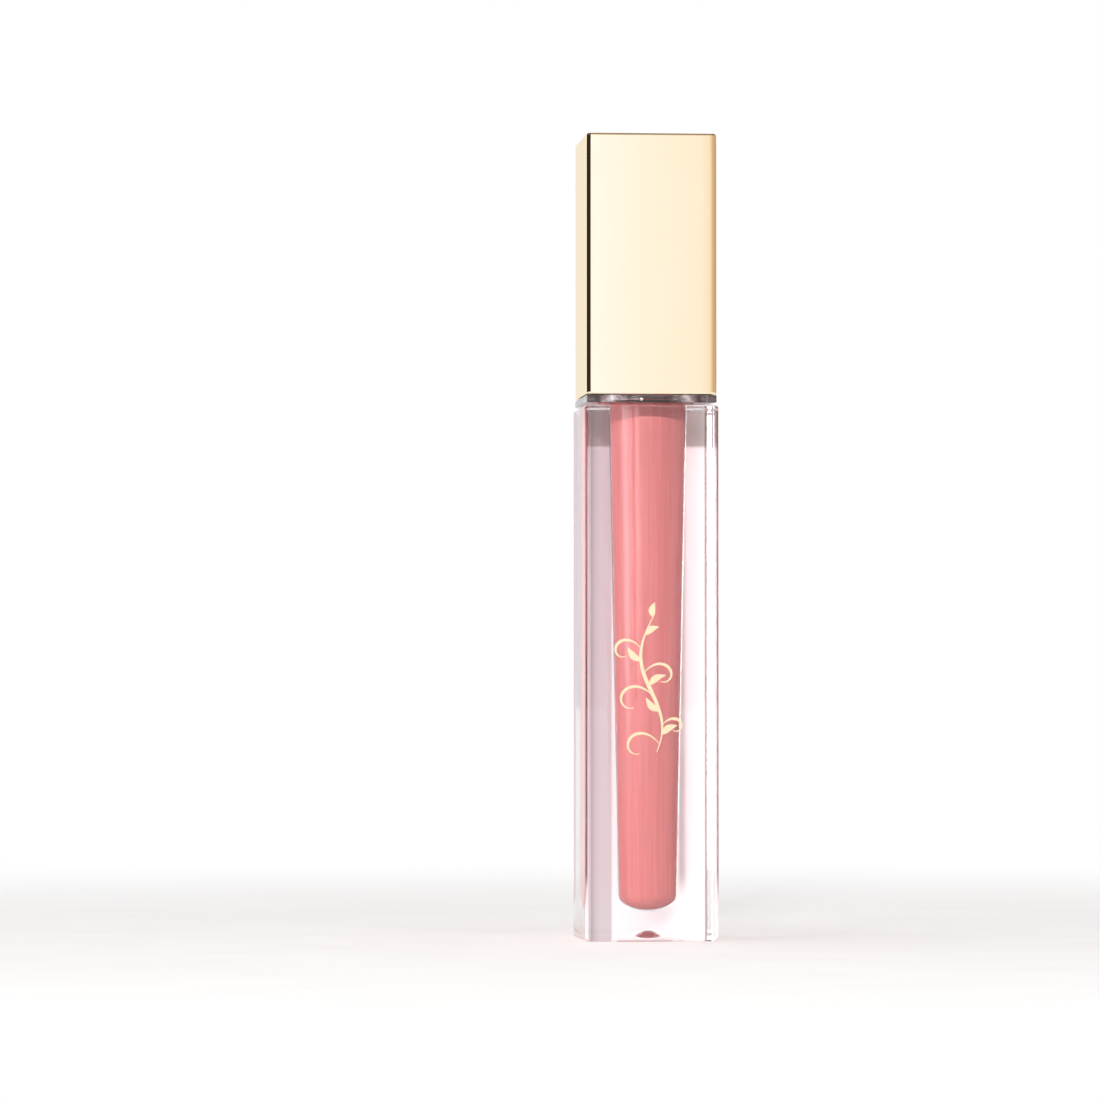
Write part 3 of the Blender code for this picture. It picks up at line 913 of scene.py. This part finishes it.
def make_film(material, around=120, down=72):
    """The wet film of gloss that the wiper leaves on the tip, with a torn edge towards the stem."""
    verts = []
    for i in range(down + 1):
        share = 0.02 + 0.979 * i / down
        radius, height, out, up = tip_profile(share)
        for k in range(around):
            angle = 2 * math.pi * k / around
            lumps = 0.02 * math.sin(3 * angle + 9 * share) + 0.012 * math.sin(17 * share + 2 * angle)
            proud = (FILM_RISE * film_cover(angle, share) - FILM_SUNK + lumps) * MM
            reach = max(0.01 * MM, radius + proud * out)
            verts.append((reach * math.cos(angle), reach * math.sin(angle), height + proud * up))
    rings = [range(i * around, (i + 1) * around) for i in range(down + 1)]
    faces = [face for upper, lower in zip(rings, rings[1:]) for face in band(upper, lower)]
    faces += [tuple(rings[0]), tuple(reversed(rings[-1]))]
    settle(shade(from_points("gloss_film", verts, faces), 60.0), material, "cap", "gloss")


def make_fibres(material, clumps=2400, fibres=5):
    """Short wet fibres that stand out of the flocking in pointed clumps, as thin closed spikes."""
    rng = random.Random(7)
    verts, faces = [], []
    for _ in range(clumps):
        share = rng.random() ** 1.25
        angle = rng.uniform(0, 2 * math.pi)
        if film_cover(angle, share) > FIBRES_SHOW:
            continue
        radius, height, out, up = tip_profile(share)
        around = Vector((math.cos(angle), math.sin(angle), 0.0))
        normal = around * out + Vector((0.0, 0.0, up))
        foot = around * (radius - 0.25 * MM * out) + Vector((0.0, 0.0, height - 0.25 * MM * up))
        lean = Vector((rng.gauss(0, 0.3), rng.gauss(0, 0.3), rng.gauss(0.1, 0.4)))
        point = foot + (normal + lean * 0.6).normalized() * rng.uniform(0.4, 0.85) * MM
        for _ in range(fibres):
            root = foot + Vector([rng.gauss(0, 0.09 * MM) for _ in range(3)])
            end = point + Vector([rng.gauss(0, 0.035 * MM) for _ in range(3)])
            direction = (end - root).normalized()
            side = direction.orthogonal().normalized() * 0.04 * MM
            third = Matrix.Rotation(2 * math.pi / 3, 3, direction)
            first = len(verts)
            verts += [root + side, root + third @ side, root + third @ third @ side, end]
            faces += [(first, first + 2, first + 1)]
            faces += [(first + a, first + b, first + 3) for a, b in ((0, 1), (1, 2), (2, 0))]
    settle(from_points("flock_fibres", verts, faces), material, "cap", "flock")


def prism(mesh, outline, y_front, y_back):
    """Adds a flat closed outline in XZ as a thin prism between two depths.

    Each stands a hair prouder than the last, so that no two fronts lie in one plane.
    """
    y_front -= len(mesh.faces) * PROUD_STEP
    front = [mesh.verts.new((p.x, y_front, p.y)) for p in outline]
    back = [mesh.verts.new((p.x, y_back, p.y)) for p in outline]
    mesh.faces.new(front)
    mesh.faces.new(back[::-1])
    for i in range(len(outline)):
        j = (i + 1) % len(outline)
        mesh.faces.new((front[j], front[i], back[i], back[j]))


def stroke(points, widest):
    """The outline of a pen stroke along points, thin at both ends."""
    left, right = [], []
    last = len(points) - 1
    for i, point in enumerate(points):
        ahead = points[min(i + 1, last)] - points[max(i - 1, 0)]
        side = Vector((-ahead.y, ahead.x)).normalized()
        half = widest * (0.22 + 0.78 * math.sin(math.pi * i / last) ** 1.4) / 2
        left.append(point + side * half)
        right.append(point - side * half)
    return left + right[::-1]


def tendril(base, heading, length, curl, count=30):
    """Points that leave base at a heading, in degrees from up, and curl up more and more."""
    points, angle, point = [base], math.radians(heading), base
    for i in range(count):
        angle += math.radians(curl) * (0.25 + 1.5 * i / count) / count
        point = point + Vector((math.sin(angle), math.cos(angle))) * (length / count)
        points.append(point)
    return points


def leaf(base, heading, length, width, count=12):
    """A pointed leaf from base along a heading."""
    angle = math.radians(heading)
    ahead = Vector((math.sin(angle), math.cos(angle)))
    side = Vector((-ahead.y, ahead.x))
    left, right = [], []
    for i in range(count + 1):
        share = i / count
        half = width / 2 * math.sin(math.pi * share**0.8)
        bend = side * (0.12 * length * math.sin(math.pi * share))
        middle = base + ahead * (length * share) + bend
        left.append(middle + side * half)
        right.append(middle - side * half)
    return left + right[-2:0:-1]


def make_vine(material):
    """A small stamped vine with leaves and tendrils on the front face, as plain decoration."""
    y_back = BOTTLE_LOW.y - 0.002 * MM
    y_front = y_back - 0.02 * MM
    foot, head = 23.6 * MM, 40.6 * MM
    count = 48

    def spine(share):
        sway = 1.35 * MM * math.sin(math.tau * 0.95 * share + 0.5)
        return Vector((-0.1 * MM + sway, foot + (head - foot) * share))

    drawing = bmesh.new()
    prism(drawing, stroke([spine(i / count) for i in range(count + 1)], 0.48 * MM), y_front, y_back)
    # (share of the spine, side, length in mm, curl in degrees)
    shoots = (
        (0.06, -1, 7.4, 255),
        (0.20, 1, 4.7, 275),
        (0.40, -1, 7.8, 260),
        (0.58, 1, 6.6, 265),
        (0.76, -1, 6.2, 270),
    )
    for share, sign, length, curl in shoots:
        points = tendril(spine(share), sign * 38, length * MM, sign * curl)
        prism(drawing, stroke(points, 0.36 * MM), y_front, y_back)
    # (share of the spine, side, length in mm)
    leaves = (
        (0.13, 1, 2.3),
        (0.30, -1, 2.5),
        (0.49, 1, 2.6),
        (0.67, -1, 2.4),
        (0.86, 1, 2.1),
        (0.99, 0, 1.9),
    )
    for share, sign, length in leaves:
        prism(drawing, leaf(spine(share), 52 * sign + 8, length * MM, 0.85 * MM), y_front, y_back)
    bmesh.ops.recalc_face_normals(drawing, faces=drawing.faces)
    vine = as_object("foil_vine", drawing)
    vine.visible_shadow = False
    settle(vine, material, "bottle", "gold_shell")


# ---- studio


def make_floor():
    """A wide pale floor under the tube, which fades to white far away, except as a source of fill light."""
    disc = bmesh.new()
    bmesh.ops.create_circle(disc, cap_ends=True, segments=96, radius=6.0)
    floor = as_object("floor", disc)
    nodes = Material("pale_floor")
    pale = nodes.ramp(nodes.noise(60.0), (0.3, (0.90, 0.895, 0.895)), (0.7, (0.93, 0.925, 0.925)))
    nodes.set(Base_Color=pale, Roughness=0.9, Specular_IOR_Level=0.1)
    far = nodes.between(nodes.length(nodes.coords), 0.03, 0.3, "SMOOTHSTEP")
    share = nodes.calc("MULTIPLY", far, nodes.calc("SUBTRACT", 1.0, nodes.ray("Is Diffuse Ray")))
    white = nodes.add("Emission").outputs["Emission"]
    nodes.show(nodes.choice(share, nodes.shader.outputs["BSDF"], white))
    floor.data.materials.append(nodes.material)


def upright_card(name, centre, width, height, material):
    """A flat staged card that faces the front or the back."""
    grid = bmesh.new()
    bmesh.ops.create_grid(grid, x_segments=1, y_segments=1, size=0.5)
    bmesh.ops.scale(grid, vec=(width, height, 1.0), verts=grid.verts)
    bmesh.ops.rotate(grid, matrix=Matrix.Rotation(math.radians(90), 3, "X"), verts=grid.verts)
    card = as_object(name, grid)
    card.data.materials.append(material)
    card.location = centre
    card.visible_camera = card.visible_diffuse = card.visible_shadow = False
    return card


def across(nodes, half, *stops):
    """A colour ramp along X over a card's width, from -half to half."""
    return nodes.ramp(nodes.between(nodes.place("X"), -half, half), *stops)


def tones(*edges):
    """Stops for the back card from (millimetres to the right of the tube's middle, colour) pairs."""
    return tuple(((edge + CARD_REACH) / (2 * CARD_REACH), tone) for edge, tone in edges)


def make_back_card():
    """A paper card close behind the tube that only shows through its clear plastic.

    Its tones are painted shadows for those that the real plastic's bent light leaves on paper: a grey band at
    the left, a narrow one beside the gloss, the gloss's own behind it, a dark strip at the right edge and the
    dark gap under the cap.
    """
    nodes = Material("card_paper")
    left_band = (
        (0.0, (0.34, 0.29, 0.31)),
        (0.135, (0.36, 0.31, 0.33)),
        (0.16, (0.50, 0.45, 0.47)),
        (0.20, (0.58, 0.53, 0.55)),
        (0.272, (0.56, 0.52, 0.54)),
        (0.286, PAPER),
    )
    hidden = tones((-3.3, PAPER), (-3.0, GLOSS_SHADOW), (3.7, GLOSS_SHADOW), (4.0, PAPER))
    beside = tones(
        (4.35, PAPER),
        (4.75, (0.50, 0.43, 0.44)),
        (5.15, (0.54, 0.47, 0.48)),
        (5.65, (0.92, 0.78, 0.79)),
    )
    # Painted shade: a dark strip beyond 7.8 mm, seen as the dark line along the bottle's right edge.
    right_edge_shade = tones((7.8, PAPER), (7.88, (0.42, 0.35, 0.34)), (9.0, (0.42, 0.35, 0.34)))
    low = across(nodes, CARD_REACH * MM, *left_band, *right_edge_shade)
    tall = across(nodes, CARD_REACH * MM, *left_band, *hidden, *beside, *right_edge_shade)

    def from_height(bottom, top, under, over):
        ends = (bottom - CARD_MIDDLE, top - CARD_MIDDLE)
        return nodes.mixed(nodes.between(nodes.place("Z"), *ends, "SMOOTHSTEP"), under, over)

    body = from_height(4.5 * MM, 8.5 * MM, low, tall)
    # Painted shade: the dark strip behind the gap under the cap.
    gap = from_height(SHELL_LOW.z + 0.8 * MM, SHELL_LOW.z + 1.8 * MM, (0.17, 0.11, 0.11), PAPER)
    whole = from_height(BODY_TOP - 0.1 * MM, BODY_TOP + 0.3 * MM, body, gap)
    nodes.set(Base_Color=whole, Roughness=0.9, Specular_IOR_Level=0.0)
    centre = (0.0, BOTTLE_HIGH.y + 0.3 * MM, CARD_MIDDLE)
    card = upright_card("back_card", centre, 0.12, 0.26, nodes.material)
    card.visible_glossy = False
    return card


def make_side_card():
    """A glowing wall to the left that only the gloss mirrors, from inside the plastic: its long sheen."""
    width = 0.372
    nodes = Material("wall_glow")
    near = ((0.0, 0.3), (0.11, 0.4), (0.2, 0.5), (0.24, 0.56), (0.3, 0.56))
    far = ((0.35, 0.55), (0.44, 0.45), (0.64, 0.22), (1.0, 0.04))
    stops = [(position, (0.97 * shade, 0.98 * shade, shade)) for position, shade in near + far]
    mirrored = nodes.calc("LESS_THAN", nodes.ray("Diffuse Depth"), 0.5)
    nodes.glow(across(nodes, width / 2, *stops), nodes.calc("MULTIPLY", mirrored, 13.0))
    card = upright_card("side_card", (-0.25, -0.199, 0.036), width, 0.112, nodes.material)
    card.rotation_euler = (0.0, 0.0, math.radians(-90))
    card.visible_glossy = False


def make_front_card():
    """A glowing card in front, beyond the camera, that the gold's front face reflects."""
    width = 0.12
    nodes = Material("card_glow")
    stops = (
        (0.0, (0.80, 0.88, 1.0)),
        (0.25, (0.80, 0.87, 1.0)),
        (0.42, (0.80, 0.80, 0.84)),
        (0.55, (0.80, 0.77, 0.76)),
        (0.62, (0.78, 0.72, 0.67)),
        (1.0, (0.72, 0.63, 0.54)),
    )
    nodes.glow(across(nodes, width / 2, *stops), STUDIO_GLOW)
    card = upright_card("front_card", (0.115, -1.0, 0.16), width, 0.34, nodes.material)
    card.visible_transmission = False


def look_at(obj, target):
    obj.rotation_euler = (target - obj.location).to_track_quat("-Z", "Y").to_euler()


def soft_light(name, direction, size, power, distance=0.9):
    """A square studio light that looks back at the tube's middle."""
    data = bpy.data.lights.new(name, "AREA")
    data.size = size
    data.energy = power
    light = add_object(name, data)
    light.location = LIT_MIDDLE + Vector(direction).normalized() * distance
    look_at(light, LIT_MIDDLE)
    light.visible_camera = False
    return light


def gloss_lamp(name, direction, power):
    """A light for the gloss alone, which no surface mirrors."""
    light = soft_light(name, direction, 0.15, power, distance=0.5)
    light.visible_glossy = False
    lights_only(light, [gloss], [inner_cap, shell])


def lights_only(light, lit, blocking):
    """Lets a light reach only some objects, and lets only some cast its shadows."""
    light.light_linking.receiver_collection = gathered(light.name + "_lit", lit)
    light.light_linking.blocker_collection = gathered(light.name + "_blocking", blocking)


def lights_all_but(light, unlit):
    """Lets a light reach everything but some objects."""
    light.light_linking.receiver_collection = gathered(light.name + "_unlit", unlit)
    for entry in light.light_linking.receiver_collection.collection_objects:
        entry.light_linking.link_state = "EXCLUDE"


def gathered(name, objects):
    collection = bpy.data.collections.new(name)
    for obj in objects:
        collection.objects.link(obj)
    return collection


# The studio around the tube as (share of a turn, colour): for mirrors, for bent rays and for soft fill
REFLECTIONS = (
    (0.00, COOL_WHITE),
    (0.085, COOL_WHITE),
    (0.10, (0.03, 0.018, 0.01)),
    (0.36, (0.03, 0.018, 0.01)),
    (0.385, (0.95, 0.98, 1.00)),
    (0.468, (0.95, 0.98, 1.00)),
    (0.481, (0.74, 0.76, 0.78)),
    (0.50, (0.78, 0.78, 0.78)),
    (0.54, (0.76, 0.75, 0.74)),
    (0.57, (0.50, 0.36, 0.23)),
    (0.72, (0.46, 0.32, 0.20)),
    (0.83, (0.50, 0.37, 0.25)),
    (0.93, (0.60, 0.48, 0.36)),
    (0.965, (0.66, 0.56, 0.45)),
    (0.985, (0.79, 0.82, 0.88)),
    (1.00, COOL_WHITE),
)
THROUGH = (
    (0.00, DEEP_GREY),
    (0.22, DEEP_GREY),
    (0.24, (0.42, 0.38, 0.38)),
    (0.28, (0.46, 0.42, 0.42)),
    (0.31, (0.76, 0.75, 0.75)),
    (0.50, (0.78, 0.78, 0.78)),
    (0.70, (0.74, 0.73, 0.73)),
    (0.78, DEEP_GREY),
    (1.00, DEEP_GREY),
)
FILL = (
    (0.00, (0.31, 0.30, 0.30)),
    (0.25, (0.67, 0.66, 0.65)),
    (0.50, (0.39, 0.38, 0.38)),
    (0.75, (0.155, 0.15, 0.145)),
    (1.00, (0.31, 0.30, 0.30)),
)


def make_world():
    """White for the camera, a soft fill for matte surfaces and a studio with dark parts for reflections."""
    world = bpy.data.worlds.new("studio")
    bpy.context.scene.world = world
    nodes = Nodes(world, "Generated")
    angle = nodes.calc("ARCTAN2", nodes.place("X"), nodes.place("Y"))
    turn = nodes.between(angle, -math.pi, math.pi)

    def shown(colour, strength=1.0):
        return nodes.add("Background", {"Color": colour, "Strength": strength}).outputs[0]

    def around(stops):
        return shown(nodes.ramp(turn, *stops), STUDIO_GLOW)

    white = shown(WHITE)
    overhead = nodes.between(nodes.place("Z"), 0.5, 0.6, "SMOOTHSTEP")
    mirrored = nodes.choice(overhead, around(REFLECTIONS), shown((0.46, 0.35, 0.23)))
    bent = nodes.calc("GREATER_THAN", nodes.ray("Ray Depth"), STRAIGHT_RAY_DEPTH)
    clear = nodes.choice(bent, white, around(THROUGH))
    shiny = nodes.choice(nodes.ray("Is Transmission Ray"), mirrored, clear)
    matte = nodes.choice(nodes.ray("Is Diffuse Ray"), shiny, around(FILL))
    seen = nodes.choice(nodes.ray("Is Camera Ray"), matte, white)
    nodes.feed(nodes.tree.nodes["World Output"].inputs["Surface"], seen)


def make_camera():
    """Level with the tube's lower half, a little to its left, with a long lens."""
    data = bpy.data.cameras.new("camera")
    data.lens = 178.3
    data.sensor_width = 36.0
    data.clip_start = 0.01
    data.clip_end = 20.0
    camera = add_object("camera", data)
    camera.location = (-0.0703, -0.6846, 0.0323)
    look_at(camera, Vector((-0.0128, BOTTLE_LOW.y, 0.0488)))
    bpy.context.scene.camera = camera


def set_up_render():
    """Plain colours, and enough bounces for thick clear plastic."""
    scene = bpy.context.scene
    scene.view_settings.view_transform = "Standard"
    scene.cycles.max_bounces = 24
    scene.cycles.transmission_bounces = 20
    scene.cycles.transparent_max_bounces = 24
    scene.cycles.glossy_bounces = 8
    scene.cycles.diffuse_bounces = 4
    scene.cycles.blur_glossy = 0.3


make_camera()
make_world()
make_floor()
back_card = make_back_card()
make_front_card()
make_side_card()
set_up_render()

bottle = make_bottle(
    clear_plastic("bottle_plastic", (0.992, 0.988, 0.99), tint=CLEAR_TINT, shoulder=BODY_TOP - 0.2 * MM)
)
gloss = make_gloss(pink_gloss())
make_wiper(soft_plastic("wiper_plastic", (0.72, 0.72, 0.70), (0.84, 0.84, 0.82), 0.35, transmission=0.35))
make_gasket(gasket_foam())
# The cap plastic's pinkish grey is partly its own tint and partly painted shade, which darkens the collar
# lying in the gold cap's shadow.
inner_cap = make_inner_cap(clear_plastic("cap_plastic", (0.83, 0.76, 0.77), rough=0.3))
make_pip(soft_plastic("frosted_gate", (0.86, 0.84, 0.84), (0.95, 0.94, 0.94), 0.3, transmission=0.3))
shell = make_shell(gold_mirror())
# The stem's outline colour is painted shade along its edges.
make_stem(clear_plastic("stem_plastic", (0.985, 0.975, 0.975), tint=CLEAR_TINT, outline=(0.30, 0.24, 0.23)))
make_bore_end(soft_plastic("bore_shade", (0.045, 0.035, 0.045), (0.09, 0.07, 0.085), 0.3))
make_core(tip_pin())
fibre = flock_fibre()
make_flocking(fibre)
make_fibres(fibre)
make_film(gloss_film())
make_vine(gold_foil())

key = soft_light("key", (-0.227, -1.0, 0.268), size=0.015, power=5.3)
lights_all_but(key, [back_card])
gloss_lamp("gloss_light", (-1.0, -0.45, 0.1), power=0.8)
gloss_lamp("gloss_back_light", (-0.7, 1.0, 0.1), power=0.9)
paper_key = soft_light("paper_key", (0.0, -1.0, 0.268), size=0.022, power=4.6)
lights_only(paper_key, [back_card], [bottle, inner_cap, shell])
soft_light("top", (0.0, -0.2, 1.0), size=0.6, power=3.0)

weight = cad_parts["cap_weight"]
weight.data.materials.clear()
weight.data.materials.append(turned_steel())
